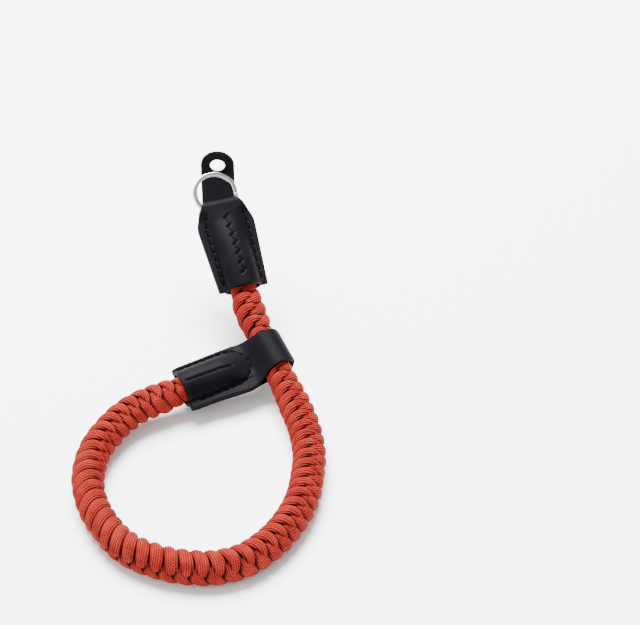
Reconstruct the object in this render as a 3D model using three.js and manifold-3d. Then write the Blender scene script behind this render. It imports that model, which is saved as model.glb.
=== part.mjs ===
import * as THREE from 'three';
import { mergeVertices } from 'three/addons/utils/BufferGeometryUtils.js';
import Module from 'manifold-3d';

// A camera wrist strap: a red knotted band that makes a wrist loop, two sewn black leather fittings,
// a split ring and a leather tongue behind the ring. Millimetres, +Z up.
// The origin is where the strap hangs: on the inside of the ring, at its top.
// +X is to the right, +Y away from the wearer, and the wrist loop lies towards -Y.

const wasm = await Module();
wasm.setup();
const { clamp, degToRad, lerp, smoothstep } = THREE.MathUtils;

// Placing of the strap as it hangs
const hangHeight = 55.6;              // origin above the surface that the loop lies on
const strapSlope = degToRad(34.5);    // ring and tab, below level
const strapHeading = degToRad(19);    // ring and tab, turned to the right
const clearance = 0.3;                // between pieces that touch
const weldDistance = 1e-4;            // points nearer than this are one point

// Split ring
const ringInner = 8.05;
const wireWidth = 1.7;                // across the ring's flat side
const wireHeight = 1.15;              // along the ring's axis
const turnPitch = 1.3;                // from one turn of the wire to the next
const stepAngle = degToRad(20);       // half of the stretch where the wire changes level
const stepPlace = degToRad(10);       // where that stretch lies, from the ring's right
const wireSteps = 78;
const wireCorner = 0.35;
const grooveSegments = 48;            // of the ring's groove in the tab's fold

// Leather
const leather = 1.4;
const padThickness = 1.6;
const rimHalfHeight = 0.6;            // where a folded sheet turns round its end
const acrossSteps = 18;               // facets over the width of a fitting

// Knotted band
const bandHalfWidth = 7.0;            // across its two columns of knots
const bandHalfDepth = 6.6;            // from its middle to the seam of its front
const knotPitch = 5.72;               // from one knot to the next, and their climb in half a turn
const knotGroove = 0.11;              // depth between two knots, as a share of the section
const seamGroove = 0.06;              // depth along the zigzag seam, as a share of the section
const bandSides = 14;
const ringsPerKnot = 4;
const hiddenSpacing = 4;              // between sections of the plain ends inside the leather
const roomSpacing = 3;                // between sections of the rooms cut for the band
const roomMargin = 6;                 // how far such a room runs on past the leather

// The band's route, from the tab to the keeper's pocket. Height is above the surface that the loop
// lies on, roll turns the band's front from up towards the outside of the loop, and size is the
// share of the full section.
const route = [
  { x: 7.2, y: -18.6, height: 41.9, roll: 20, size: 0.5 },
  { x: 11.0, y: -29.5, height: 34.0, roll: 20, size: 0.71 },
  { x: 14.6, y: -40.3, height: 26.2, roll: 20, size: 0.82 },
  { x: 16.8, y: -47.1, height: 22.2, roll: 20, size: 1 },
  { x: 19.4, y: -54.2, height: 19.3, roll: 20, size: 0.97 },
  { x: 22.3, y: -61.0, height: 17.2, roll: 20, size: 0.82 },
  { x: 26.2, y: -69.7, height: 14.5, roll: 20, size: 0.8 },
  { x: 30.2, y: -78.4, height: 11.8, roll: 19, size: 0.85 },
  { x: 36.6, y: -94.6, height: 9.0, roll: 18, size: 1 },
  { x: 40.2, y: -105.8, height: 7.9, roll: 21, size: 1 },
  { x: 42.2, y: -116.5, height: 7.3, roll: 31, size: 1 },
  { x: 42.8, y: -125.0, height: 7.1, roll: 33, size: 1 },
  { x: 42.0, y: -135.5, height: 7.0, roll: 41, size: 1 },
  { x: 40.4, y: -146.5, height: 6.95, roll: 43, size: 1 },
  { x: 36.4, y: -158.5, height: 6.95, roll: 45, size: 1 },
  { x: 29.0, y: -171.2, height: 6.95, roll: 48, size: 1 },
  { x: 19.3, y: -181.0, height: 7.0, roll: 55, size: 1 },
  { x: 10.5, y: -185.0, height: 7.0, roll: 60, size: 1 },
  { x: 1.6, y: -186.1, height: 7.0, roll: 72, size: 1 },
  { x: -13.0, y: -183.5, height: 7.05, roll: 92, size: 1 },
  { x: -28.7, y: -174.7, height: 7.05, roll: 125, size: 1 },
  { x: -40.1, y: -158.2, height: 7.05, roll: 133, size: 1 },
  { x: -44.5, y: -145.3, height: 7.1, roll: 131, size: 1 },
  { x: -45.8, y: -136.0, height: 7.2, roll: 127, size: 1 },
  { x: -45.1, y: -126.6, height: 7.4, roll: 130, size: 1 },
  { x: -43.1, y: -118.7, height: 7.8, roll: 130, size: 1 },
  { x: -39.5, y: -111.2, height: 8.2, roll: 133, size: 1 },
  { x: -34.2, y: -103.2, height: 8.8, roll: 135, size: 1 },
  { x: -27.1, y: -96.7, height: 9.5, roll: 143, size: 1 },
  { x: -17.6, y: -91.6, height: 10.3, roll: 143, size: 1 },
  { x: -10.6, y: -88.2, height: 11.0, roll: 142, size: 0.84 },
  { x: 0.0, y: -82.9, height: 12.0, roll: 142, size: 0.73 },
  { x: 11.0, y: -77.4, height: 13.0, roll: 142, size: 0.55 },
];
const tabMouthRow = 2;                // rows where the band comes out of the tab,
const tunnelInRow = 5;                // passes through the keeper
const tunnelOutRow = 7;
const pocketMouthRow = 30;            // and ends inside it

// Anchor tab: distances run down the strap from its fold
const foldBelowRingCentre = 2.9;
const tabShift = 0.7;                 // the tab's middle, to the right of the ring's centre
const foldEase = 14;                  // from the ring's centre, where the sheets meet below the wire
const tabOutline = [
  { down: 0, halfWidth: 7.5 },
  { down: 3.5, halfWidth: 9.5 },
  { down: 9.5, halfWidth: 12.0 },
  { down: 12, halfWidth: 12.5 },
  { down: 15, halfWidth: 12.4 },
  { down: 41, halfWidth: 10.7 },
];
const tabBulge = [
  { down: 8, lift: 0 },
  { down: 13, lift: 2.9 },
  { down: 20, lift: 4.6 },
  { down: 28, lift: 5.6 },
  { down: 41, lift: 6.1 },
];
const tabBulgeHalfWidth = 7.9;
const tabStations = [0, 0.4, 1.2, 2.4, 4, 6, 8, 10, 12, 14.5, 18, 22, 27, 32, 37, 41];

// Keeper: distances run along the leather from the middle of the tunnel, towards its closed end
const keeperPlace = route[6];
const keeperSlope = degToRad(17);
const keeperRoll = degToRad(-5);
const keeperHeading = degToRad(28);
const keeperOutline = [
  { along: -41, halfWidth: 9.6 },
  { along: -39, halfWidth: 10 },
  { along: -14, halfWidth: 9.9 },
  { along: -6, halfWidth: 8.7 },
  { along: 6, halfWidth: 8.3 },
  { along: 7.9, halfWidth: 7.5 },
];
const pocketBulge = [
  { along: -41, lift: 6.3 },
  { along: -30, lift: 5.6 },
  { along: -20, lift: 4.4 },
  { along: -14, lift: 2 },
  { along: -10, lift: 0 },
];
const pocketBulgeHalfWidth = 7.6;
const tunnelHalfWidth = 7.9;
const tunnelHalfDepth = 7.2;
const keeperStations = [
  -41, -38, -33, -28, -23, -19, -16, -13.5, -11, -9, -7.6, -6, -4, -2, 0, 2, 4, 5.6, 6.8, 7.5, 7.9,
];

// Tongue behind the ring
const padHalfWidth = 7.2;
const padLength = 30;
const padHoleRadius = 3.2;
const padPlace = { x: 2.9, y: 2.75, top: 10.6 };

// Short tables are read as straight lines between their rows
function tableValue(rows, key, value, column) {
  const next = rows.findIndex((row) => row[key] >= value);
  if (next === 0) return rows[0][column];
  if (next < 0) return rows[rows.length - 1][column];
  const a = rows[next - 1];
  const b = rows[next];
  return lerp(a[column], b[column], (value - a[key]) / (b[key] - a[key]));
}

function indexedGeometry(points, faces) {
  const geometry = new THREE.BufferGeometry().setFromPoints(points);
  geometry.setIndex(faces);
  geometry.computeVertexNormals();
  return geometry;
}

// A closed skin through rings of points, each ring right-handed about the way the rings follow
function closedLoft(rings) {
  const sides = rings[0].length;
  const last = (rings.length - 1) * sides;
  const faces = [];
  for (let i = 0; i < last; i += sides) {
    for (let j = 0; j < sides; j++) {
      const a = i + j;
      const b = i + (j + 1) % sides;
      faces.push(a, b, b + sides, a, b + sides, a + sides);
    }
  }
  for (let j = 1; j < sides - 1; j++) {
    faces.push(0, j + 1, j);
    faces.push(last, last + j, last + j + 1);
  }
  return indexedGeometry(rings.flat(), faces);
}

// Two equal sheets of leather, mirrored in their middle plane, closed along their edges
function leatherSlab(stations, halfWidthAt, halfHeightAt) {
  const perSheet = stations.length * (acrossSteps + 1);
  const points = [];
  for (const side of [1, -1]) {
    for (const along of stations) {
      for (let j = 0; j <= acrossSteps; j++) {
        const across = halfWidthAt(along) * (2 * j / acrossSteps - 1);
        points.push(new THREE.Vector3(along, across, side * halfHeightAt(along, across)));
      }
    }
  }
  const top = (i, j) => i * (acrossSteps + 1) + j;
  const under = (i, j) => perSheet + top(i, j);
  const faces = [];
  const quad = (a, b, c, d) => faces.push(a, b, c, a, c, d);
  const end = stations.length - 1;
  const edge = acrossSteps;
  for (let i = 0; i < end; i++) {
    for (let j = 0; j < edge; j++) {
      quad(top(i, j), top(i + 1, j), top(i + 1, j + 1), top(i, j + 1));
      quad(under(i, j), under(i, j + 1), under(i + 1, j + 1), under(i + 1, j));
    }
    quad(top(i, 0), under(i, 0), under(i + 1, 0), top(i + 1, 0));
    quad(top(i, edge), top(i + 1, edge), under(i + 1, edge), under(i, edge));
  }
  for (let j = 0; j < edge; j++) {
    quad(top(0, j), top(0, j + 1), under(0, j + 1), under(0, j));
    quad(top(end, j), under(end, j), under(end, j + 1), top(end, j + 1));
  }
  return indexedGeometry(points, faces);
}

function solidOf(geometry) {
  const bare = geometry.clone();
  bare.deleteAttribute('normal');
  bare.deleteAttribute('uv');
  const merged = mergeVertices(bare, weldDistance);
  const vertProperties = new Float32Array(merged.attributes.position.array);
  const triVerts = new Uint32Array(merged.index.array);
  return new wasm.Manifold(new wasm.Mesh({ numProp: 3, vertProperties, triVerts }));
}

function geometryOf(solid) {
  const mesh = solid.getMesh();
  const geometry = new THREE.BufferGeometry();
  geometry.setAttribute('position', new THREE.BufferAttribute(mesh.vertProperties, 3));
  geometry.setIndex(new THREE.BufferAttribute(mesh.triVerts, 1));
  geometry.computeVertexNormals();
  return geometry;
}

function cutFrom(geometry, tools) {
  const cut = tools.reduce((solid, tool) => solid.subtract(solidOf(tool)), solidOf(geometry));
  return geometryOf(cut);
}

// Band
const routeCurve = new THREE.CatmullRomCurve3(
  route.map((row) => new THREE.Vector3(row.x, row.y, row.height - hangHeight)),
  false,
  'centripetal',
);
routeCurve.arcLengthDivisions = 800;
const bandLength = routeCurve.getLength();

function routeRowAt(share) {
  const place = routeCurve.getUtoTmapping(share) * (route.length - 1);
  const row = Math.min(Math.floor(place), route.length - 2);
  const part = place - row;
  const between = (column) => lerp(route[row][column], route[row + 1][column], part);
  return { roll: degToRad(between('roll')), size: between('size') };
}

function shareOfRow(row) {
  const lengths = routeCurve.getLengths();
  return lengths[Math.round(row / (route.length - 1) * (lengths.length - 1))] / bandLength;
}

// Share of the section that is left at an angle round the band, measured from its outer column
function knotRelief(angle, distance) {
  const outer = Math.cos(angle) >= 0;
  const phase = distance / knotPitch - angle / Math.PI + (outer ? 0 : 0.5);
  const groove = Math.abs(Math.cos(Math.PI * phase)) ** 3;
  const seam = 1 - smoothstep(Math.abs(Math.cos(angle)), 0, 0.5);
  return 1 - knotGroove * groove * (1 - seam) - seamGroove * seam;
}

function bandSection(share, grow, knotted) {
  const middle = routeCurve.getPointAt(share);
  const ahead = routeCurve.getTangentAt(share);
  const { roll, size } = routeRowAt(share);
  const up = new THREE.Vector3(0, 0, 1).projectOnPlane(ahead).normalize();
  const outward = new THREE.Vector3().crossVectors(up, ahead);
  const front = up.multiplyScalar(Math.cos(roll)).addScaledVector(outward, Math.sin(roll));
  const wide = new THREE.Vector3().crossVectors(front, ahead);
  return Array.from({ length: bandSides }, (_, k) => {
    const angle = 2 * Math.PI * k / bandSides;
    const relief = knotted ? knotRelief(angle, share * bandLength) : 1;
    return middle.clone()
      .addScaledVector(wide, (bandHalfWidth * size * relief + grow) * Math.cos(angle))
      .addScaledVector(front, (bandHalfDepth * size * relief + grow) * Math.sin(angle));
  });
}

function bandStretch(fromShare, toShare, spacing, grow, knotted) {
  const steps = Math.max(2, Math.round((toShare - fromShare) * bandLength / spacing));
  const shares = Array.from({ length: steps + 1 }, (_, i) => lerp(fromShare, toShare, i / steps));
  return shares.map((share) => bandSection(share, grow, knotted));
}

function braidedCord() {
  const knotSpacing = knotPitch / ringsPerKnot;
  const firstKnot = shareOfRow(tabMouthRow) - 2 * knotSpacing / bandLength;
  const lastKnot = shareOfRow(pocketMouthRow) + 2 * knotSpacing / bandLength;
  const inTab = bandStretch(0, firstKnot, hiddenSpacing, 0, false);
  const shown = bandStretch(firstKnot, lastKnot, knotSpacing, 0, true);
  const inPocket = bandStretch(lastKnot, 1, hiddenSpacing, 0, false);
  return closedLoft([...inTab.slice(0, -1), ...shown, ...inPocket.slice(1)]);
}

// The room that the band needs between two rows of its route, in the frame of the piece around it
function bandRoom(fromRow, toRow, frame) {
  const margin = roomMargin / bandLength;
  const from = clamp(shareOfRow(fromRow) - margin, 0, 1);
  const to = clamp(shareOfRow(toRow) + margin, 0, 1);
  const room = closedLoft(bandStretch(from, to, roomSpacing, clearance, false));
  frame.updateMatrixWorld(true);
  return room.applyMatrix4(frame.matrixWorld.clone().invert());
}

// Split ring, in its own plane with its centre at the origin
function splitRing() {
  const middle = ringInner + wireWidth / 2;
  const halfWide = wireWidth / 2;
  const halfHigh = wireHeight / 2;
  const turn = 2 * Math.PI;
  const start = stepAngle;
  const end = 2 * turn - stepAngle;
  const corners = [[1, -1], [1, 1], [-1, 1], [-1, -1]];
  const profile = corners.flatMap(([out, up], k) => {
    const soft = [out * halfWide, up * (halfHigh - wireCorner)];
    const flat = [out * (halfWide - wireCorner), up * halfHigh];
    return k % 2 === 0 ? [flat, soft] : [soft, flat];
  });
  const rings = [];
  for (let i = 0; i <= wireSteps; i++) {
    const angle = lerp(start, end, i / wireSteps);
    const level = turnPitch * (smoothstep(angle, turn - stepAngle, turn + stepAngle) - 0.5);
    const direction = new THREE.Vector3(Math.cos(angle + stepPlace), Math.sin(angle + stepPlace), 0);
    rings.push(profile.map(([out, up]) => {
      return direction.clone().multiplyScalar(middle + out).setZ(level - up);
    }));
  }
  return closedLoft(rings);
}

// Groove for the ring inside the tab's fold, in the ring's plane
function ringRoom() {
  const inner = ringInner - clearance;
  const outer = ringInner + wireWidth + clearance;
  const half = turnPitch / 2 + wireHeight / 2 + clearance;
  const profile = [[inner, -half], [outer, -half], [outer, half], [inner, half], [inner, -half]];
  const points = profile.map(([radius, level]) => new THREE.Vector2(radius, level));
  const groove = new THREE.LatheGeometry(points, grooveSegments);
  groove.rotateX(Math.PI / 2);
  const foldInside = foldBelowRingCentre + leather;
  const reach = Math.acos(foldInside / (inner + clearance));
  const segment = new THREE.Shape();
  segment.absarc(0, 0, inner + clearance, -Math.PI / 2 - reach, -Math.PI / 2 + reach, false);
  const settings = { depth: 2 * half, bevelEnabled: false, curveSegments: 12 };
  const slit = new THREE.ExtrudeGeometry(segment, settings);
  slit.translate(0, 0, -half);
  return [groove, slit];
}

function tabHalfHeight(down, across) {
  const foldRadius = leather + turnPitch / 2 + wireHeight / 2 + clearance;
  const fromRing = Math.hypot(across + tabShift, down + foldBelowRingCentre);
  const overRing = (foldRadius - leather) * (1 - smoothstep(fromRing, ringInner + wireWidth, foldEase));
  const bulge = tableValue(tabBulge, 'down', down, 'lift');
  const overCord = bulge * Math.sqrt(Math.max(0, 1 - (across / tabBulgeHalfWidth) ** 2));
  const flat = leather + Math.max(overRing, overCord);
  if (down >= foldRadius) return flat;
  const round = Math.sqrt(foldRadius ** 2 - (foldRadius - down) ** 2);
  return clamp(round, rimHalfHeight, flat);
}

function anchorTab(frame) {
  const halfWidthAt = (down) => tableValue(tabOutline, 'down', down, 'halfWidth');
  const slab = leatherSlab(tabStations, halfWidthAt, tabHalfHeight);
  slab.rotateZ(-Math.PI / 2);
  slab.translate(tabShift, -foldBelowRingCentre, 0);
  return cutFrom(slab, [...ringRoom(), bandRoom(0, tabMouthRow, frame)]);
}

function keeperHalfHeight(along, across) {
  const lift = tableValue(pocketBulge, 'along', along, 'lift');
  const overPocket = lift * Math.sqrt(Math.max(0, 1 - (across / pocketBulgeHalfWidth) ** 2));
  const overTunnel = tunnelHalfDepth * Math.sqrt(Math.max(0, 1 - (along / tunnelHalfWidth) ** 2));
  const flat = along > 0 ? rimHalfHeight : leather;
  return Math.max(flat, overTunnel, along < 0 ? leather + overPocket : 0);
}

function keeperLeather(frame) {
  const halfWidthAt = (along) => tableValue(keeperOutline, 'along', along, 'halfWidth');
  const slab = leatherSlab(keeperStations, halfWidthAt, keeperHalfHeight);
  const tunnel = bandRoom(tunnelInRow, tunnelOutRow, frame);
  const pocket = bandRoom(pocketMouthRow, route.length - 1, frame);
  return cutFrom(slab, [tunnel, pocket]);
}

// Tongue: straight sides, a round top, and a hole on the centre of the round
function lugPad() {
  const outline = new THREE.Shape();
  outline.moveTo(-padHalfWidth, padHalfWidth - padLength);
  outline.lineTo(padHalfWidth, padHalfWidth - padLength);
  outline.lineTo(padHalfWidth, 0);
  outline.absarc(0, 0, padHalfWidth, 0, Math.PI, false);
  outline.closePath();
  const hole = new THREE.Path();
  hole.absarc(0, 0, padHoleRadius, 0, 2 * Math.PI, true);
  outline.holes.push(hole);
  const settings = { depth: padThickness, bevelEnabled: false, curveSegments: 10 };
  return new THREE.ExtrudeGeometry(outline, settings);
}

const cordRed = new THREE.MeshStandardMaterial({ color: 0xc8402f, roughness: 0.75, metalness: 0 });
const leatherBlack = new THREE.MeshStandardMaterial({ color: 0x1d1d1f, roughness: 0.5, metalness: 0 });
const ringNickel = new THREE.MeshStandardMaterial({ color: 0xd8d6d0, roughness: 0.15, metalness: 1 });

function named(name, geometry, material) {
  const mesh = new THREE.Mesh(geometry, material);
  mesh.name = name;
  return mesh;
}

const strap = new THREE.Group();

const ringFrame = new THREE.Group();
ringFrame.rotation.set(strapSlope, 0, strapHeading, 'ZXY');
ringFrame.position.set(0, -ringInner, 0).applyEuler(ringFrame.rotation);
ringFrame.add(named('split_ring', splitRing(), ringNickel));
ringFrame.add(named('anchor_tab', anchorTab(ringFrame), leatherBlack));

const keeperFrame = new THREE.Group();
keeperFrame.rotation.set(keeperSlope, keeperRoll, keeperHeading, 'ZXY');
keeperFrame.position.set(keeperPlace.x, keeperPlace.y, keeperPlace.height - hangHeight);
keeperFrame.add(named('keeper', keeperLeather(keeperFrame), leatherBlack));

const padFrame = new THREE.Group();
padFrame.rotation.set(Math.PI / 2, 0, 0);
padFrame.position.set(padPlace.x, padPlace.y + padThickness, padPlace.top - padHalfWidth);
padFrame.add(named('lug_pad', lugPad(), leatherBlack));

strap.add(ringFrame, keeperFrame, padFrame);
strap.add(named('braided_cord', braidedCord(), cordRed));

export default strap;
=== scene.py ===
import math
from itertools import product

import bpy
import numpy as np
from mathutils import Matrix, Vector


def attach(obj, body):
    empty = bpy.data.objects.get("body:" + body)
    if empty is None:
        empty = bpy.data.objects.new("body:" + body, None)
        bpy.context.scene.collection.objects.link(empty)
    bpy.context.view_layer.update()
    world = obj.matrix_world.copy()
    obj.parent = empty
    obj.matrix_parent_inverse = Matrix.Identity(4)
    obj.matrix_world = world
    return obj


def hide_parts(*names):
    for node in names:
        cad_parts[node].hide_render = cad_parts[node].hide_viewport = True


# A camera wrist strap: a red snake-knot band, two sewn leather fittings, a split ring and a leather
# tongue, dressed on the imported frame. Sizes are millimetres; MM turns them into metres.

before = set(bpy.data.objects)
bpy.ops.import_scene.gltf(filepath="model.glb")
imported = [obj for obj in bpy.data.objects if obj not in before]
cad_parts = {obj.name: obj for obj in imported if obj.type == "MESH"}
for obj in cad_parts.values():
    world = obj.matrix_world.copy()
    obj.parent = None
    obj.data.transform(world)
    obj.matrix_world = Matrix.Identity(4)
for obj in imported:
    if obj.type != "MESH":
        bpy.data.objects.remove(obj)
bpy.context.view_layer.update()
MM = 0.001

# Placing, as in the frame
HANG_HEIGHT = 55.6
STRAP_SLOPE = math.radians(34.5)
STRAP_HEADING = math.radians(19)
KEEPER_SLOPE = math.radians(17)
KEEPER_ROLL = math.radians(-5)
KEEPER_HEADING = math.radians(28)

# The photograph's frame, and how its camera stands
PHOTO_WIDTH = 640
PHOTO_HEIGHT = 625
SENSOR = 36
FOCAL_PIXELS = 2419
LOOK_DOWN = math.radians(40)
RING_PIXEL = (215.5, 193.8)
RING_DEPTH = 1040

# Split ring
RING_INNER = 8.05
WIRE_WIDTH = 1.7
WIRE_HEIGHT = 1.15
TURN_PITCH = 1.3
STEP_ANGLE = math.radians(20)
STEP_PLACE = math.radians(10)
WIRE_STEPS = 300
WIRE_SIDES = 20
WIRE_SQUARENESS = 0.62
WIRE_END_LENGTH = 0.5
WIRE_END_SHARE = 0.45

# Leather
LEATHER = 1.4
SHEET_GAP = 0.08
EDGE_ROUND = 0.45
SHEET_ROWS = 140
SHEET_COLUMNS = 111
THREAD_RADIUS = 0.36
STITCH_STEPS = 9
STITCH_SIDES = 8
STITCH_LIFT = 0.08
STITCH_SINK = 0.7
DENT_DEPTH = 0.42
DENT_WIDTH = 0.45

# Knotted band
BAND_HALF_WIDTH = 7.0
BAND_HALF_DEPTH = 6.6
KNOT_PITCHES = [(0, 6.2), (72, 6.1), (95, 5.68), (370, 5.68)]
FIRST_BAR = 5.0
BAR_THICKNESS = 3.4
BAR_STEPS = 45
BAR_WIDTH_SHARE = 0.96
BAR_CROWN = 0.62
BELLY_DEPTH = 0.8
BELLY_FLATNESS = 2.4
BELLY_ROUNDNESS = 2.2
TIP_WIDTH = 0.12
TIP_HEIGHT = 0.75
STEP_TURNS = (44, 72)
BAR_RIBS = 6
RIB_WIDTH = 0.93
POINTS_PER_RIB = 5
RIB_DEPTH = 0.34
UNDERSIDE_POINTS = 3
YARN_PITCH = 0.9
YARN_SLANT = 0.8
CORE_SHARE = 0.6
CORE_ROWS = 150
CORE_SIDES = 16

# The band's route: x, y, height over the floor, roll in degrees, share of the full section
ROUTE = np.array([
    (7.2, -18.6, 41.9, -14, 0.5),
    (11.0, -29.5, 34.0, -14, 0.71),
    (14.6, -40.3, 26.2, -14, 0.82),
    (16.8, -47.1, 22.2, -14, 1),
    (19.4, -54.2, 19.3, -13, 0.97),
    (22.3, -61.0, 17.2, -11, 0.82),
    (26.2, -69.7, 14.5, -8, 0.8),
    (30.2, -78.4, 11.8, -6, 0.85),
    (36.6, -94.6, 9.0, -4, 1),
    (40.2, -105.8, 7.9, 1, 1),
    (42.2, -116.5, 7.3, 7, 1),
    (42.8, -125.0, 7.1, 11, 1),
    (42.0, -135.5, 7.0, 14, 1),
    (40.4, -146.5, 6.95, 17, 1),
    (36.4, -158.5, 6.95, 20, 1),
    (29.0, -171.2, 6.95, 26, 1),
    (19.3, -181.0, 7.0, 34, 1),
    (10.5, -185.0, 7.0, 44, 1),
    (1.6, -186.1, 7.0, 50, 1),
    (-13.0, -183.5, 7.05, 58, 1),
    (-28.7, -174.7, 7.05, 76, 1),
    (-40.1, -158.2, 7.05, 100, 1),
    (-44.5, -145.3, 7.1, 125, 1),
    (-45.8, -136.0, 7.2, 137, 1),
    (-45.1, -126.6, 7.4, 141, 1),
    (-43.1, -118.7, 7.8, 149, 1),
    (-39.5, -111.2, 8.2, 162, 1),
    (-34.2, -103.2, 8.8, 167, 1),
    (-27.1, -96.7, 9.5, 171, 1),
    (-17.6, -91.6, 10.3, 174, 1),
    (-10.6, -88.2, 11.0, 174, 0.84),
    (0.0, -82.9, 12.0, 174, 0.73),
    (11.0, -77.4, 13.0, 174, 0.55),
])
STEPS_PER_ROW = 30
KEEPER_ROW = 6

# Anchor tab: distances run down the strap from its fold
FOLD_BELOW_RING = 2.9
TAB_SHIFT = 0.7
FOLD_EASE = 24
FOLD_RADIUS = LEATHER + TURN_PITCH / 2 + WIRE_HEIGHT / 2 + 0.3
TAB_LENGTH = 41
TAB_OUTLINE = [(0, 7.5), (3.5, 9.5), (9.5, 12.0), (12, 12.5), (15, 12.4), (41, 10.7)]
TAB_BULGE = [(2, 0.3), (8, 1.3), (13, 2.9), (20, 4.6), (28, 5.6), (41, 6.1)]
TAB_DOME = [(3, 1.5), (14, 1.0), (26, 0.6), (41, 0.55)]
TAB_BULGE_HALF_WIDTH = 7.9
FLANGE_ACROSS = (7, 10.5)
FLANGE_DOWN = (4, 9)
TAB_ROW = [(5.8, 7.2), (9, 8.6), (13, 9.1), (22, 8.9), (40, 8.4)]

# Keeper: distances run along the leather from the middle of its tunnel
KEEPER_END = -41
KEEPER_OUTLINE = [(-41, 9.6), (-39, 10), (-14, 9.9), (-6, 8.7), (6, 8.3), (7.9, 7.5)]
KEEPER_LOWER_EDGE = [
    (-41, 0.8), (-28, 1.2), (-19, 2.0), (-13, 2.2), (-8, 1.4), (-4, 0.2), (0, 0), (7.9, 0),
]
POCKET_BULGE = [(-41, 6.3), (-30, 5.6), (-20, 4.4), (-14, 2), (-10, 0)]
POCKET_BULGE_HALF_WIDTH = 7.6
POCKET_DOME = 0.6
POCKET_BLEND = 0.6
POCKET_SETTLE = 0.15
TUNNEL_HALF_WIDTH = 7.9
TUNNEL_HALF_DEPTH = 7.2
TUNNEL_SLOPE_LENGTH = 12.5

# Tongue behind the ring
PAD_THICKNESS = 1.6
PAD_HALF_WIDTH = 7.2
PAD_LENGTH = 30
PAD_HOLE_RADIUS = 3.2
PAD_PLACE = (2.9, 2.75, 3.4)
PAD_SIDES = 144
PAD_ROUNDING = [(0.0, 0.4), (0.12, 0.18), (0.4, 0.0)]
PAD_FACE_SHARES = (0.15, 0.4, 0.7, 0.95)


# Small helpers

def turned(heading, slope, roll=0):
    turn = Matrix.Rotation(heading, 3, "Z") @ Matrix.Rotation(slope, 3, "X")
    return np.array(turn @ Matrix.Rotation(roll, 3, "Y"))


def unit(vectors):
    return vectors / np.linalg.norm(vectors, axis=-1, keepdims=True)


def smooth(value, low, high):
    share = np.clip((value - low) / (high - low), 0, 1)
    return share * share * (3 - 2 * share)


def soft_max(a, b, blend):
    """The larger of two heights, rounded over where they meet."""
    return (a + b + np.sqrt((a - b) ** 2 + blend ** 2)) / 2


def curve_value(rows, at):
    """A short table read as a smooth curve through its rows."""
    x, y = np.array(rows, float).T
    slope = np.gradient(y, x)
    at = np.clip(at, x[0], x[-1])
    k = np.clip(np.searchsorted(x, at) - 1, 0, len(x) - 2)
    step = x[k + 1] - x[k]
    t = (at - x[k]) / step
    ends = y[k] * (1 + 2 * t) * (1 - t) ** 2 + y[k + 1] * t * t * (3 - 2 * t)
    return ends + step * (slope[k] * t * (1 - t) ** 2 - slope[k + 1] * t * t * (1 - t))


def grid_faces(rows, columns, start=0, round_rows=False):
    """Quads between neighbouring rows of points; round_rows joins each row's end to its start."""
    i, j = np.mgrid[0:rows - 1, 0:columns - (not round_rows)]
    a = start + i * columns + j
    b = start + i * columns + (j + 1) % columns
    return np.stack([a, b, b + columns, a + columns], -1).reshape(-1, 4)


class Build:
    """Points and faces of one piece as they are gathered, with a value per point for its finish."""

    def __init__(self):
        self.points, self.faces, self.values, self.count = [], [], {}, 0

    def add(self, points, faces, **values):
        points = np.asarray(points, float).reshape(-1, 3)
        self.points.append(points)
        self.faces.append(np.asarray(faces) + self.count)
        for name, value in values.items():
            spread = np.broadcast_to(np.asarray(value, float).reshape(-1), len(points))
            self.values.setdefault(name, []).append(spread)
        self.count += len(points)

    def piece(self, name, finish, body, node=None):
        mesh = bpy.data.meshes.new(name)
        faces = [face for group in self.faces for face in group.tolist()]
        mesh.from_pydata((np.vstack(self.points) * MM).tolist(), [], faces)
        mesh.polygons.foreach_set("use_smooth", np.ones(len(mesh.polygons), bool))
        for key, parts in self.values.items():
            layer = mesh.attributes.new(key, "FLOAT", "POINT")
            layer.data.foreach_set("value", np.concatenate(parts).astype(np.float32))
        mesh.materials.append(finish)
        made = bpy.data.objects.new(name, mesh)
        bpy.context.scene.collection.objects.link(made)
        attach(made, body)
        if node:
            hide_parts(node)
        return made


# Materials

class Wire:
    """A socket of a finish's tree. Sums and products of wires add Math nodes."""

    def __init__(self, finish, socket):
        self.finish, self.socket = finish, socket

    def math(self, operation, *values):
        return self.finish.node("ShaderNodeMath", {"operation": operation}, dict(enumerate(values)))

    def __add__(self, other):
        return self.math("ADD", self, other)

    def __sub__(self, other):
        return self.math("SUBTRACT", self, other)

    def __rsub__(self, other):
        return self.math("SUBTRACT", other, self)

    def __mul__(self, other):
        return self.math("MULTIPLY", self, other)

    def __truediv__(self, other):
        return self.math("DIVIDE", self, other)

    def __rtruediv__(self, other):
        return self.math("DIVIDE", other, self)

    __radd__ = __add__
    __rmul__ = __mul__

    def sine(self):
        return self.math("SINE", self)

    def size(self):
        return self.math("ABSOLUTE", self)

    def zigzag(self):
        return self.math("PINGPONG", self, 1.0)

    def ramp(self, low, high):
        """0 below low, 1 above high, smooth between."""
        settings = {"interpolation_type": "SMOOTHSTEP"}
        inputs = {0: self, 1: low, 2: high, 3: 0.0, 4: 1.0}
        return self.finish.node("ShaderNodeMapRange", settings, inputs)


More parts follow.
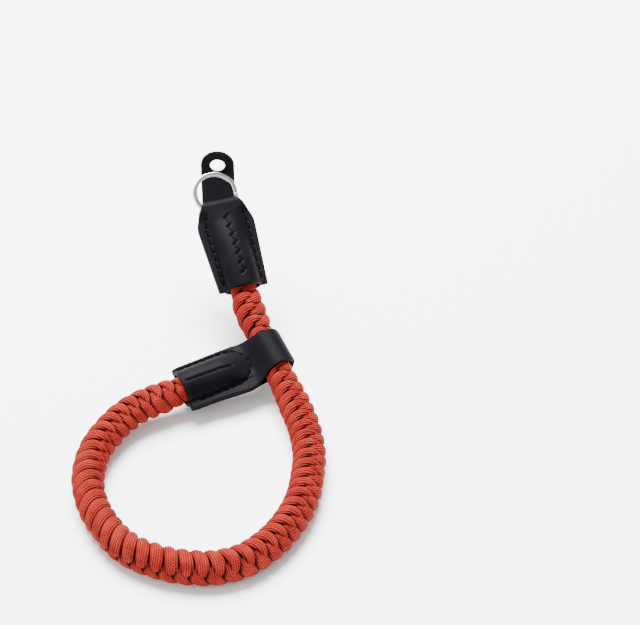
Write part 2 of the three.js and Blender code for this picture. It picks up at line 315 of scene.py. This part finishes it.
class Finish:
    """A procedural material, built node by node."""

    def __init__(self, name):
        self.material = bpy.data.materials.new(name)
        self.material.use_nodes = True
        self.tree = self.material.node_tree
        self.shader = self.tree.nodes["Principled BSDF"]

    def node(self, kind, settings, inputs, output=0):
        made = self.tree.nodes.new(kind)
        for name, value in settings.items():
            setattr(made, name, value)
        for key, value in inputs.items():
            if isinstance(value, Wire):
                self.tree.links.new(value.socket, made.inputs[key])
            else:
                made.inputs[key].default_value = value
        return Wire(self, made.outputs[output])

    def value(self, name):
        return self.node("ShaderNodeAttribute", {"attribute_name": name}, {}, "Fac")

    def noise(self, scale, detail=2.0, roughness=0.5):
        place = self.node("ShaderNodeTexCoord", {}, {}, "Object")
        inputs = {"Vector": place, "Scale": scale, "Detail": detail, "Roughness": roughness}
        return self.node("ShaderNodeTexNoise", {"noise_dimensions": "3D"}, inputs, "Fac")

    def cells(self, scale):
        place = self.node("ShaderNodeTexCoord", {}, {}, "Object")
        settings = {"feature": "DISTANCE_TO_EDGE"}
        return self.node("ShaderNodeTexVoronoi", settings, {"Vector": place, "Scale": scale}, "Distance")

    def mix(self, share, a, b):
        return self.node("ShaderNodeMix", {"data_type": "RGBA"}, {0: share, 6: a, 7: b}, 2)

    def bump(self, height, distance, strength=1.0):
        inputs = {"Height": height, "Distance": distance, "Strength": strength}
        return self.node("ShaderNodeBump", {}, inputs)

    def set(self, **sockets):
        for name, value in sockets.items():
            socket = self.shader.inputs[name.replace("_", " ")]
            if isinstance(value, Wire):
                self.tree.links.new(value.socket, socket)
            else:
                socket.default_value = value
        return self.material


def colour(text):
    """A linear colour from its usual six hex digits."""
    parts = [int(text[k:k + 2], 16) / 255 for k in (0, 2, 4)]
    return (*[c / 12.92 if c <= 0.04045 else ((c + 0.055) / 1.055) ** 2.4 for c in parts], 1.0)


def cord_finish():
    """Braided polyester: ribs of slanting yarns, with painted shade in the grooves between ribs and
    yarns, and deeper painted shade, dark red to near black, between and under the bars.
    """
    finish = Finish("cord_red_braid")
    rib = finish.value("across") / RIB_WIDTH
    crest = (rib * math.pi).sine().size()
    yarn = ((finish.value("along") / YARN_PITCH + rib.zigzag() * YARN_SLANT) * math.pi).sine().size()
    weave = crest * 0.55 + yarn * 0.45
    patch = finish.noise(220.0, 3.0)
    fuzz = finish.noise(2600.0, 2.0)
    lit = finish.mix(patch.ramp(0.3, 0.7), colour("791912"), colour("8d261d"))
    # Painted shade: the weave's grooves between ribs and yarns are darkened from the lit red.
    shade = finish.mix(weave.ramp(0.18, 0.76), colour("320806"), lit)
    # Painted shade: darker red where a bar lies below the band's outside near it, near black deep in the
    # gaps.
    crease = finish.value("crease")
    edge = finish.mix(crease.ramp(0.1, 0.95), shade, colour("2a0504"))
    deep = finish.mix(crease.ramp(0.8, 2.0), edge, colour("120202"))
    height = weave * 0.85 + fuzz * 0.15
    return finish.set(
        Base_Color=deep,
        Roughness=0.6 + fuzz * 0.25,
        Normal=finish.bump(height, 0.3 * MM, 0.9),
        Specular_IOR_Level=0.06,
    )


def leather_finish(name, dark, light, gloss, grain):
    """Smooth dyed leather: fine pores, a soft uneven sheen, and edges worn a little lighter."""
    finish = Finish(name)
    edge = finish.value("edge")
    pores = finish.cells(1500.0).ramp(0.0, 0.25)
    folds = finish.noise(260.0, 4.0, 0.6)
    cloud = finish.noise(70.0, 3.0)
    worn = edge * folds.ramp(0.35, 0.7)
    base = finish.mix(cloud.ramp(0.3, 0.7), colour(dark), colour(light))
    height = pores * 0.35 + folds * 0.65
    return finish.set(
        Base_Color=finish.mix(worn * 0.5, base, colour("1c1b1b")),
        Roughness=gloss + (folds - 0.5) * 0.16 + edge * 0.12,
        Normal=finish.bump(height, grain * MM, 0.7),
        Specular_IOR_Level=0.035,
    )


def thread_finish():
    """Waxed black thread with its twist."""
    finish = Finish("thread_black")
    along = finish.value("along")
    across = finish.value("across")
    twist = ((along / 0.6 + across) * math.pi).sine().size()
    tint = finish.mix(twist, colour("010101"), colour("040404"))
    return finish.set(
        Base_Color=tint,
        Roughness=0.5 + twist * 0.15,
        Normal=finish.bump(twist, 0.12 * MM, 0.8),
        Specular_IOR_Level=0.02,
    )


def nickel_finish():
    """Bright nickel plate with faint rub marks, and painted shade, a dark line, where the two turns lie
    on each other.
    """
    finish = Finish("ring_nickel_plate")
    rub = finish.noise(900.0, 4.0, 0.7)
    cloud = finish.noise(120.0, 2.0)
    tint = finish.mix(cloud.ramp(0.3, 0.7), colour("9a9794"), colour("b0ada9"))
    return finish.set(
        Base_Color=finish.mix(finish.value("seam"), tint, colour("1c1a19")),
        Metallic=1.0,
        Roughness=0.1 + rub * 0.12,
        Normal=finish.bump(rub, 0.02 * MM, 0.4),
    )


def floor_finish():
    """Pale matt table top."""
    finish = Finish("table_pale")
    cloud = finish.noise(3.0, 2.0)
    tint = finish.mix(cloud, colour("f8f8fa"), colour("fdfdfd"))
    return finish.set(Base_Color=tint, Roughness=0.6 + cloud * 0.1, Specular_IOR_Level=0.2)


# Camera

ring_turn = turned(STRAP_HEADING, STRAP_SLOPE)
ring_centre = ring_turn @ np.array([0, -RING_INNER, 0])


def add_camera():
    ahead = np.array([0, math.cos(LOOK_DOWN), -math.sin(LOOK_DOWN)])
    up = np.array([0, math.sin(LOOK_DOWN), math.cos(LOOK_DOWN)])
    right = np.array([1, 0, 0])
    sideways = (RING_PIXEL[0] - PHOTO_WIDTH / 2) / FOCAL_PIXELS
    upwards = (PHOTO_HEIGHT / 2 - RING_PIXEL[1]) / FOCAL_PIXELS
    place = ring_centre - RING_DEPTH * (ahead + sideways * right + upwards * up)
    data = bpy.data.cameras.new("camera")
    data.sensor_width = SENSOR
    data.lens = FOCAL_PIXELS / PHOTO_WIDTH * SENSOR
    data.clip_start = 0.05
    data.clip_end = 20
    camera = bpy.data.objects.new("camera", data)
    camera.location = Vector(place * MM)
    camera.rotation_euler = (math.pi / 2 - LOOK_DOWN, 0, 0)
    bpy.context.scene.collection.objects.link(camera)
    bpy.context.scene.camera = camera


# Knotted band

def route_table():
    """The route as closely spaced rows: distance along it, and its middle, front, wide and size."""
    points = ROUTE[:, :3] - (0, 0, HANG_HEIGHT)
    points = np.vstack([2 * points[0] - points[1], points, 2 * points[-1] - points[-2]])
    share = np.linspace(0, 1, STEPS_PER_ROW, endpoint=False)[:, None]
    middle = []
    for p0, p1, p2, p3 in zip(points, points[1:], points[2:], points[3:]):
        d0, d1, d2 = [np.linalg.norm(b - a) ** 0.5 for a, b in ((p0, p1), (p1, p2), (p2, p3))]
        leave = d1 * ((p1 - p0) / d0 - (p2 - p0) / (d0 + d1) + (p2 - p1) / d1)
        arrive = d1 * ((p2 - p1) / d1 - (p3 - p1) / (d1 + d2) + (p3 - p2) / d2)
        ends = p1 * (1 + 2 * share) * (1 - share) ** 2 + p2 * share ** 2 * (3 - 2 * share)
        middle.append(ends + leave * share * (1 - share) ** 2 - arrive * share ** 2 * (1 - share))
    middle = np.vstack([*middle, points[-2]])
    place = np.linspace(0, len(ROUTE) - 1, len(middle))
    steps = np.linalg.norm(np.diff(middle, axis=0), axis=1)
    distance = np.concatenate([[0], np.cumsum(steps)])
    ahead = unit(np.gradient(middle, axis=0))
    up = unit(np.array([0, 0, 1]) - ahead * ahead[:, 2:])
    outward = np.cross(up, ahead)
    rows = np.arange(len(ROUTE))
    roll = np.radians(np.interp(place, rows, ROUTE[:, 3]))[:, None]
    size = np.interp(place, rows, ROUTE[:, 4])
    front = up * np.cos(roll) + outward * np.sin(roll)
    wide = np.cross(front, ahead)
    return distance, np.column_stack([middle, front, wide, size])


route_distance, route_rows = route_table()
BAND_LENGTH = route_distance[-1]


def band_at(distance):
    """The band's middle, front, wide and size at a distance along it."""
    columns = [np.interp(distance, route_distance, column) for column in route_rows.T]
    table = np.stack(columns, -1)
    return table[..., 0:3], table[..., 3:6], table[..., 6:9], table[..., 9]


def on_band(distance, angle, inset):
    """A point of the band's section, at an angle from its outer column and inset from its skin."""
    middle, front, wide, size = band_at(distance)
    across = (BAND_HALF_WIDTH * size - inset) * np.cos(angle)
    out = (BAND_HALF_DEPTH * size - inset) * np.sin(angle)
    return middle + wide * across[..., None] + front * out[..., None]


# A bar turns round its column's side and keeps its full width over the middle of the turn. On each
# face an inner bar ends on top in a round tip; an outer bar narrows between two of them and dives.
# Per column, by distance along the band: turn at full width, turn where the dive starts, turn at the
# tip, roundness of the tip, depth of the dive, step down before it. The tips are rounder at the bend.
BAR_TURNS = {
    -1: [
        (0, 44, 122, 137, 1.3, 1.8, 0),
        (185, 46, 122, 137, 1.3, 1.8, 0),
        (212, 58, 108, 124, 1.9, 2.0, 0),
        (245, 62, 98, 114, 2.3, 2.0, 0),
        (262, 62, 110, 126, 1.9, 2.0, 0),
        (300, 48, 122, 137, 1.3, 1.8, 0),
    ],
    1: [
        (0, 54, 80, 128, 1.0, 2.8, 0.8),
        (200, 54, 80, 128, 1.0, 2.8, 0.8),
        (225, 58, 76, 128, 1.1, 2.8, 1.2),
        (262, 58, 76, 128, 1.1, 2.8, 1.2),
        (290, 54, 80, 128, 1.0, 2.8, 0.8),
    ],
}


def bar_profile():
    """Across -1 to 1 over the top, then back under; height is a share of half the thickness."""
    top = np.linspace(-1, 1, BAR_RIBS * POINTS_PER_RIB + 1)
    crown = (1 - top ** 2) ** BAR_CROWN
    under = np.linspace(1, -1, UNDERSIDE_POINTS + 2)[1:-1]
    belly = -BELLY_DEPTH * (1 - np.abs(under) ** BELLY_FLATNESS) ** (1 / BELLY_ROUNDNESS)
    return np.concatenate([top, under]), np.concatenate([crown, belly])


def bar_places(column):
    """Where the bars of a column lie along the band; the two columns alternate."""
    places = [FIRST_BAR]
    while places[-1] < BAND_LENGTH - 1:
        places.append(places[-1] + np.interp(places[-1], *np.array(KNOT_PITCHES).T))
    places = np.array(places)
    return places[:-1] if column < 0 else (places[:-1] + places[1:]) / 2


def bar_surface(column, at):
    """column is 1 for the outer column and -1 for the inner one; at is the bar's place on its side."""
    pitch = np.interp(at, *np.array(KNOT_PITCHES).T)
    where, *turns = np.array(BAR_TURNS[column]).T
    turns = [np.interp(at, where, row) for row in turns]
    full_turn, dive_turn, tip_turn, roundness, dive_depth, step_depth = turns
    degrees = np.linspace(-tip_turn, tip_turn, BAR_STEPS)
    swing = np.radians(degrees)
    angle = -swing + (0 if column > 0 else math.pi)
    distance = at - pitch / 2 * np.sin(swing)
    size = band_at(distance)[3]
    dive = smooth(np.abs(degrees), dive_turn, tip_turn)
    step = step_depth * smooth(np.abs(degrees), *STEP_TURNS)
    inset = (BAR_THICKNESS / 2 + step + dive_depth * dive) * size
    path = on_band(distance, angle, inset)
    ahead_of, behind = [on_band(distance + shift, angle, inset) for shift in (0.5, -0.5)]
    stretch = np.linalg.norm(ahead_of - behind, axis=1)
    _, front, wide, _ = band_at(distance)
    along = unit(np.gradient(path, axis=0))
    normal = wide * np.cos(angle)[:, None] / BAND_HALF_WIDTH
    normal = normal + front * np.sin(angle)[:, None] / BAND_HALF_DEPTH
    normal = unit(normal - along * np.sum(normal * along, axis=1, keepdims=True))
    breadth = np.cross(along, normal)
    narrowing = np.clip((np.abs(degrees) - full_turn) / (tip_turn - full_turn), 0, 1)
    taper = TIP_WIDTH + (1 - TIP_WIDTH) * (1 - narrowing ** roundness) ** (1 / roundness)
    half_width = pitch / 2 * BAR_WIDTH_SHARE * stretch * taper
    half_height = BAR_THICKNESS / 2 * size * (TIP_HEIGHT + (1 - TIP_HEIGHT) * taper)
    across, height = bar_profile()
    beside = across * half_width[:, None]
    rib = np.abs(np.sin(math.pi * beside / RIB_WIDTH)) - 1
    lift = height * half_height[:, None] + RIB_DEPTH * rib * (height > 0)
    points = path[:, None] + breadth[:, None] * beside[..., None] + normal[:, None] * lift[..., None]
    run = np.concatenate([[0], np.cumsum(np.linalg.norm(np.diff(path, axis=0), axis=1))])
    rows = np.ones_like(beside)
    return points, distance[:, None] * rows, run[:, None] * rows, beside


# How high the band's outside stands, over a grid of places along and round it
SKIN_STEP = 0.4
SKIN_SIDES = 96
SKIN_REACH = 3


def band_place(points, distance):
    """Where points lie on the band: distance along it, angle round it, share of its section."""
    middle, front, wide, _ = band_at(distance)
    distance = distance + np.sum((points - middle) * np.cross(wide, front), axis=-1)
    middle, front, wide, size = band_at(distance)
    across = np.sum((points - middle) * wide, axis=-1) / (BAND_HALF_WIDTH * size)
    out = np.sum((points - middle) * front, axis=-1) / (BAND_HALF_DEPTH * size)
    return distance, np.arctan2(out, across), np.hypot(across, out)


def gathered(grid, reach, how):
    """A grid's values gathered over the cells within reach."""
    for axis in (0, 1):
        grid = how([np.roll(grid, k, axis) for k in range(-reach, reach + 1)], axis=0)
    return grid


def crease_depths(surfaces):
    """How far each point of the bars lies below the outside round it; the cord's finish paints shade by
    this depth.
    """
    rows = int(BAND_LENGTH / SKIN_STEP) + 1
    outside = np.zeros((rows, SKIN_SIDES))
    found = []
    for points, distance, _, _ in surfaces:
        place, angle, level = band_place(points, distance)
        row = np.clip(place / SKIN_STEP, 0, rows - 1).astype(int)
        column = np.floor(angle / (2 * math.pi) * SKIN_SIDES).astype(int) % SKIN_SIDES
        np.maximum.at(outside, (row, column), level)
        found.append((row, column, level))
    outside = gathered(gathered(outside, 1, np.max), SKIN_REACH, np.mean)
    return [(outside[row, column] - level) * BAND_HALF_DEPTH for row, column, level in found]


def add_core(build):
    """The straight cords inside the knots, given full painted shade, near black, where they show in the
    gaps.
    """
    distance = np.linspace(0, BAND_LENGTH, CORE_ROWS)[:, None]
    angle = np.linspace(0, 2 * math.pi, CORE_SIDES, endpoint=False)
    inset = BAND_HALF_DEPTH * (1 - CORE_SHARE) * band_at(distance)[3]
    grid, angle, inset = np.broadcast_arrays(distance, angle, inset)
    points = on_band(grid, angle, inset)
    build.add(points, grid_faces(*grid.shape, round_rows=True)[:, ::-1], along=0, across=0, crease=3)


def add_braid(finish):
    columns = [[bar_surface(column, at) for at in bar_places(column)] for column in (-1, 1)]
    creases = crease_depths(columns[0] + columns[1])
    pieces = []
    for surfaces, name in zip(columns, ("braid_inner_bars", "braid_outer_bars")):
        build = Build()
        if not pieces:
            add_core(build)
        for points, _, along, across in surfaces:
            faces = grid_faces(*along.shape, round_rows=True)
            build.add(points, faces, along=along, across=across, crease=creases.pop(0))
        pieces.append(build.piece(name, finish, "strap"))
    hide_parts("braided_cord")
    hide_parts("braided_cord")


# Leather

def tab_half_width(down, side):
    return np.interp(down, *np.array(TAB_OUTLINE).T)


def tab_height(down, across):
    from_ring = np.hypot(across + TAB_SHIFT, down + FOLD_BELOW_RING)
    flange = smooth(np.abs(across), *FLANGE_ACROSS) * smooth(down, *FLANGE_DOWN)
    fade = (1 - smooth(from_ring, RING_INNER + WIRE_WIDTH, FOLD_EASE)) * (1 - flange)
    over_ring = (FOLD_RADIUS - LEATHER) * fade
    dome = np.maximum(0, 1 - (across / TAB_BULGE_HALF_WIDTH) ** 2) ** curve_value(TAB_DOME, down)
    over_cord = curve_value(TAB_BULGE, down) * dome
    flat = LEATHER + np.cbrt(over_ring ** 3 + over_cord ** 3)
    turn = 1 - np.clip(down / FOLD_RADIUS, 0, 1)
    return flat * np.sqrt(1 - turn ** 2)


def keeper_half_width(along, side):
    lower = curve_value(KEEPER_LOWER_EDGE, along) * (side < 0)
    return np.interp(along, *np.array(KEEPER_OUTLINE).T) + lower


def keeper_height(along, across):
    dome = np.maximum(0, 1 - (across / POCKET_BULGE_HALF_WIDTH) ** 2) ** POCKET_DOME
    over_pocket = LEATHER + curve_value(POCKET_BULGE, along) * dome
    slope = 1 - smooth(-along, 0, TUNNEL_SLOPE_LENGTH)
    before = LEATHER + (TUNNEL_HALF_DEPTH - LEATHER) * slope
    wrap = TUNNEL_HALF_DEPTH * np.sqrt(np.maximum(0, 1 - (along / TUNNEL_HALF_WIDTH) ** 2))
    over = soft_max(over_pocket, before, POCKET_BLEND) - POCKET_SETTLE
    return np.where(along < 0, over, wrap)


def stitch_dents(along, across, stitches):
    """How far the thread pulls the leather in, summed over the stitches."""
    depth = np.zeros(np.broadcast(along, across).shape)
    for start, end, weight in stitches:
        a, b = np.array(start), np.array(end)
        run = b - a
        share = np.clip(((along - a[0]) * run[0] + (across - a[1]) * run[1]) / (run @ run), 0, 1)
        gap = np.hypot(along - a[0] - share * run[0], across - a[1] - share * run[1])
        depth = np.maximum(depth, DENT_DEPTH * weight * np.exp(-(gap / DENT_WIDTH) ** 2))
    return depth


def edge_drop(distance):
    """How far a rounded edge falls away, at a distance in from the edge."""
    inside = np.clip(1 - distance / EDGE_ROUND, 0, 1)
    return EDGE_ROUND * (1 - np.sqrt(1 - inside ** 2))


class FoldedLeather:
    """One leather strip folded on itself: a mouth at one end, the fold at the other, sewn between."""

    def __init__(self, mouth, fold, half_width, height, stitches, place, turn, axes):
        self.mouth, self.fold = mouth, fold
        self.half_width, self.height, self.stitches = half_width, height, stitches
        self.place, self.turn, self.axes = place, turn, axes

    def top(self, along, across):
        return self.height(along, across) - stitch_dents(along, across, self.stitches)

    def set_out(self, along, across, level):
        """Local distances as a point of the strap."""
        local = np.stack([along, across, level], -1) @ self.axes
        return local @ self.turn.T + self.place

    def rows(self, count):
        """Rows from the mouth to the fold, closer together at both."""
        t = np.linspace(0, 1, count)
        share = 0.35 * t + 0.65 * np.sin(t * math.pi / 2)
        near_mouth = np.array([0, 0.06, 0.16, 0.3, 0.5]) / abs(self.fold - self.mouth)
        share = np.concatenate([near_mouth, share[share > near_mouth[-1] + 0.002]])
        return self.mouth + (self.fold - self.mouth) * share

    def sheets(self):
        """Outside and lining of the folded strip, and how near each point lies to an edge."""
        t = np.linspace(-1, 1, SHEET_COLUMNS)
        share = 0.8 * np.sin(t * math.pi / 2) + 0.2 * t
        rows = self.rows(SHEET_ROWS)
        along = np.concatenate([rows, rows[-2::-1]])[:, None] * np.ones(SHEET_COLUMNS)
        side = np.concatenate([np.ones(len(rows)), -np.ones(len(rows) - 1)])[:, None]
        width = self.half_width(along, share)
        across = share * width
        height = self.top(along, across)
        sheet = np.stack([along, across, side * height], -1)
        normal = np.cross(np.gradient(sheet, axis=0), np.gradient(sheet, axis=1))
        normal = unit(normal + 1e-9)
        normal *= np.sign(np.sum(normal[:, SHEET_COLUMNS // 2, 2] * side[:, 0])) or 1
        to_edge = np.minimum(width - np.abs(across), np.abs(along - self.mouth))
        drop = edge_drop(to_edge)
        outer = sheet - normal * drop[..., None]
        inner = sheet - normal * LEATHER
        lip = SHEET_GAP / 2 + 0.4 * drop
        level = np.maximum(inner[..., 2] * side, lip)
        at_fold = np.abs(along - self.fold) < FOLD_RADIUS
        inner[..., 2] = np.where(at_fold, inner[..., 2], level * side)
        edge = np.exp(-to_edge / 0.7)
        return outer, inner, edge

    def add_to(self, build):
        outer, inner, edge = self.sheets()
        rows, columns = outer.shape[:2]
        points = np.concatenate([outer.reshape(-1, 3), inner.reshape(-1, 3)])
        size = rows * columns
        skin = grid_faces(rows, columns)
        lining = grid_faces(rows, columns, size)[:, ::-1]
        index = np.arange(size).reshape(rows, columns)
        rims = []
        for line, flip in ((index[:, 0], 1), (index[:, -1], -1), (index[0], -1), (index[-1], 1)):
            rim = np.stack([line[:-1], line[1:], line[1:] + size, line[:-1] + size], -1)
            rims.append(rim[:, ::flip])
        faces = np.vstack([skin, lining, *rims])
        points = self.set_out(points[:, 0], points[:, 1], points[:, 2])
        build.add(points, faces, edge=np.concatenate([edge.ravel(), np.ones(size)]))

    def add_stitches(self, build):
        """Each stitch is a short thread, pulled into the leather at both ends, front and back."""
        share = np.linspace(0, 1, STITCH_STEPS)
        angle = np.linspace(0, 2 * math.pi, STITCH_SIDES, endpoint=False)
        for (start, end, weight), face in product(self.stitches, (1, -1)):
            line = np.array(start) + share[:, None] * (np.array(end) - np.array(start))
            lift = STITCH_LIFT - STITCH_SINK * np.abs(2 * share - 1) ** 3
            middle = np.column_stack([line, face * (self.top(line[:, 0], line[:, 1]) + lift)])
            run = unit(np.gradient(middle, axis=0))
            beside = unit(np.cross(run, [0, 0, 1.0]))
            above = np.cross(beside, run)
            ring = np.cos(angle)[:, None] * beside[:, None] + np.sin(angle)[:, None] * above[:, None]
            points = middle[:, None] + THREAD_RADIUS * weight * ring
            points = self.set_out(points[..., 0], points[..., 1], points[..., 2])
            length = np.linalg.norm(np.array(end) - np.array(start))
            shape = points.shape[:2]
            build.add(
                points,
                grid_faces(*shape, round_rows=True),
                along=np.broadcast_to((share * length)[:, None], shape),
                across=np.broadcast_to(angle / math.pi, shape),
            )


def dashes(line, pitch, length, weight=1.0):
    """Stitches at an even pitch along a line of points."""
    line = np.array(line, float)
    distance = np.concatenate([[0], np.cumsum(np.linalg.norm(np.diff(line, axis=0), axis=1))])
    count = int(distance[-1] // pitch)
    found = []
    for k in range(count):
        start = pitch * (k + 0.5) - length / 2
        ends = [[np.interp(d, distance, column) for column in line.T] for d in (start, start + length)]
        found.append((*ends, weight))
    return found


def tab_stitches():
    """A row inside each long edge, and a saw-tooth row down the middle."""
    pitch, length, slant = 3.7, 2.5, 0.22
    down = np.linspace(TAB_ROW[0][0], TAB_LENGTH - 1.5, 40)
    inside = curve_value(TAB_ROW, down)
    found = []
    for side in (1, -1):
        row = dashes(np.column_stack([down, side * inside]), pitch, length)
        found += [((a, b - slant), (c, d + slant), weight) for (a, b), (c, d), weight in row]
    first_tooth, tooth_pitch, tooth_drop, left, right = 8.2, 4.4, 1.4, -0.6, 1.4
    teeth = []
    for k in range(7):
        at = first_tooth + tooth_pitch * k
        teeth += [(at, right), (at + tooth_drop, left)]
    found += [(a, b, (1.35, 0.5)[k % 2]) for k, (a, b) in enumerate(zip(teeth, teeth[1:]))]
    return found


def keeper_stitches():
    """A U of stitches round the pocket, and one row down its middle."""
    row, turn_place, turn_length = 8.4, -18.5, 8.4
    pitch, length = 3.4, 2.4
    straight = np.linspace(KEEPER_END + 2, turn_place, 20)
    angle = np.linspace(math.pi / 2, -math.pi / 2, 30)
    arc = np.column_stack([turn_place + turn_length * np.cos(angle), row * np.sin(angle)])
    upper = np.column_stack([straight, np.full(len(straight), row)])
    lower = np.column_stack([straight[::-1], np.full(len(straight), -row)])
    found = dashes(np.vstack([upper[:-1], arc, lower[1:]]), pitch, length)
    return found + dashes([(-39.3, -0.5), (-18.2, -0.5)], 3.0, 2.7, 1.35)


def add_leather(finish, thread):
    down_strap = np.array([[0, -1, 0], [1, 0, 0], [0, 0, 1.0]])
    fold_place = ring_centre + ring_turn @ np.array([TAB_SHIFT, -FOLD_BELOW_RING, 0])
    tab = FoldedLeather(
        TAB_LENGTH, 0, tab_half_width, tab_height, tab_stitches(),
        fold_place, ring_turn, down_strap,
    )
    keeper_turn = turned(KEEPER_HEADING, KEEPER_SLOPE, KEEPER_ROLL)
    keeper_place = ROUTE[KEEPER_ROW, :3] - (0, 0, HANG_HEIGHT)
    keeper = FoldedLeather(
        KEEPER_END, TUNNEL_HALF_WIDTH, keeper_half_width, keeper_height, keeper_stitches(),
        keeper_place, keeper_turn, np.eye(3),
    )
    fittings = (tab, "tab_leather", "anchor_tab"), (keeper, "keeper_leather", "keeper")
    for fitting, name, node in fittings:
        leather = Build()
        fitting.add_to(leather)
        leather.piece(name, finish, "strap", node)
        sewing = Build()
        fitting.add_stitches(sewing)
        sewing.piece(name.replace("leather", "stitches"), thread, "strap")


def add_pad(finish):
    """Tongue: straight sides, a round top and a hole, with rounded edges."""
    angle = np.linspace(0, 2 * math.pi, PAD_SIDES, endpoint=False)
    foot = PAD_HALF_WIDTH - PAD_LENGTH

    def outline(inset):
        half = PAD_HALF_WIDTH - inset
        x, z = half * np.cos(angle), half * np.sin(angle)
        reach = np.abs(np.sin(angle)) / np.maximum(np.abs(np.cos(angle)), 1e-6)
        below = np.sin(angle) < 0
        depth = -(foot + inset)
        down = np.minimum(depth, half * reach)
        x = np.where(below, np.sign(np.cos(angle)) * np.minimum(half, down / np.maximum(reach, 1e-6)), x)
        return np.column_stack([x, np.where(below, -down, z)])

    def hole(grow):
        return (PAD_HOLE_RADIUS + grow) * np.column_stack([np.cos(angle), np.sin(angle)])

    half = PAD_THICKNESS / 2
    rings, edges = [], []
    for side in (-1, 1):
        face = [(hole(grow), side * (half - drop), 1) for grow, drop in PAD_ROUNDING]
        for share in PAD_FACE_SHARES:
            face.append((hole(0.5) * (1 - share) + outline(0.5) * share, side * half, 0))
        face += [(outline(inset), side * (half - drop), 1) for inset, drop in PAD_ROUNDING[::-1]]
        for flat, level, edge in face if side < 0 else face[::-1]:
            rings.append(np.column_stack([flat[:, 0], np.full(PAD_SIDES, level), flat[:, 1]]))
            edges.append(np.full(PAD_SIDES, edge))
    rings.append(rings[0])
    edges.append(edges[0])
    points = np.array(rings) + np.array([PAD_PLACE[0], PAD_PLACE[1] + half, PAD_PLACE[2]])
    build = Build()
    faces = grid_faces(len(rings), PAD_SIDES, round_rows=True)
    build.add(points, faces, edge=np.concatenate(edges))
    build.piece("pad_leather", finish, "strap", "lug_pad")


def add_ring(finish):
    """Two turns of flattened wire; the wire changes level over a short stretch."""
    turn = 2 * math.pi
    angle = np.linspace(STEP_ANGLE, 2 * turn - STEP_ANGLE, WIRE_STEPS)
    level = TURN_PITCH * (smooth(angle, turn - STEP_ANGLE, turn + STEP_ANGLE) - 0.5)
    round_wire = np.linspace(0, turn, WIRE_SIDES, endpoint=False)
    out, up = [
        size / 2 * np.sign(part) * np.abs(part) ** WIRE_SQUARENESS
        for size, part in ((WIRE_WIDTH, np.cos(round_wire)), (WIRE_HEIGHT, np.sin(round_wire)))
    ]
    from_end = np.minimum(angle - angle[0], angle[-1] - angle) * RING_INNER
    rounding = np.sqrt(np.clip(from_end / WIRE_END_LENGTH, 0, 1))
    full = WIRE_END_SHARE + (1 - WIRE_END_SHARE) * rounding
    radius = RING_INNER + WIRE_WIDTH / 2 + out * full[:, None]
    heading = (angle + STEP_PLACE)[:, None]
    points = np.stack([
        radius * np.cos(heading), radius * np.sin(heading), level[:, None] + up * full[:, None],
    ], -1)
    points = points @ ring_turn.T + ring_centre
    # Painted shade: a dark band on each turn's face towards the other, over the doubled stretch where
    # the two turns meet.
    towards_other = np.where(angle < turn, 1, -1)[:, None]
    doubled = smooth(np.abs(angle - turn), STEP_ANGLE, 2 * STEP_ANGLE)[:, None]
    seam = doubled * smooth(towards_other * up / WIRE_HEIGHT, 0.0, 0.4)
    build = Build()
    faces = grid_faces(*points.shape[:2], round_rows=True)
    build.add(points, faces, seam=seam)
    first = points[0].mean(axis=0)
    last = points[-1].mean(axis=0)
    start = (WIRE_STEPS - 1) * WIRE_SIDES
    side = np.arange(WIRE_SIDES)
    after = (side + 1) % WIRE_SIDES
    cap = WIRE_STEPS * WIRE_SIDES
    fan = np.column_stack([after, side, np.full(WIRE_SIDES, cap)])
    far = np.column_stack([start + side, start + after, np.full(WIRE_SIDES, cap + 1)])
    build.add(np.array([first, last]), np.vstack([fan, far]) - build.count, seam=0)
    build.piece("ring_wire", finish, "ring", "split_ring")


# Floor and light

def add_floor(finish):
    half = 4.0
    mesh = bpy.data.meshes.new("table_top")
    corners = [(-half, -half), (half, -half), (half, half), (-half, half)]
    mesh.from_pydata([(x, y, -HANG_HEIGHT * MM) for x, y in corners], [], [(0, 1, 2, 3)])
    mesh.materials.append(finish)
    floor = bpy.data.objects.new("table_top", mesh)
    bpy.context.scene.collection.objects.link(floor)


def add_light(name, place, aim, width, watts):
    data = bpy.data.lights.new(name, "AREA")
    data.shape = "SQUARE"
    data.size = width
    data.energy = watts
    light = bpy.data.objects.new(name, data)
    light.location = place
    light.rotation_euler = (Vector(aim) - Vector(place)).to_track_quat("-Z", "Y").to_euler()
    bpy.context.scene.collection.objects.link(light)


def add_lights():
    aim = (0.0, -0.1, -0.04)
    add_light("key_soft", (-0.15, 0.5, 1.3), aim, 1.0, 170)
    add_light("fill_soft", (-0.9, -0.9, 0.8), aim, 1.2, 8)
    world = bpy.data.worlds.new("studio")
    world.use_nodes = True
    back = world.node_tree.nodes["Background"]
    back.inputs["Color"].default_value = (1, 1, 1, 1)
    back.inputs["Strength"].default_value = 1.1
    bpy.context.scene.world = world


add_camera()
add_braid(cord_finish())
add_leather(leather_finish("leather_black", "070509", "0b090e", 0.54, 0.05), thread_finish())
add_pad(leather_finish("leather_pad", "05050a", "08090e", 0.6, 0.09))
add_ring(nickel_finish())
add_floor(floor_finish())
add_lights()
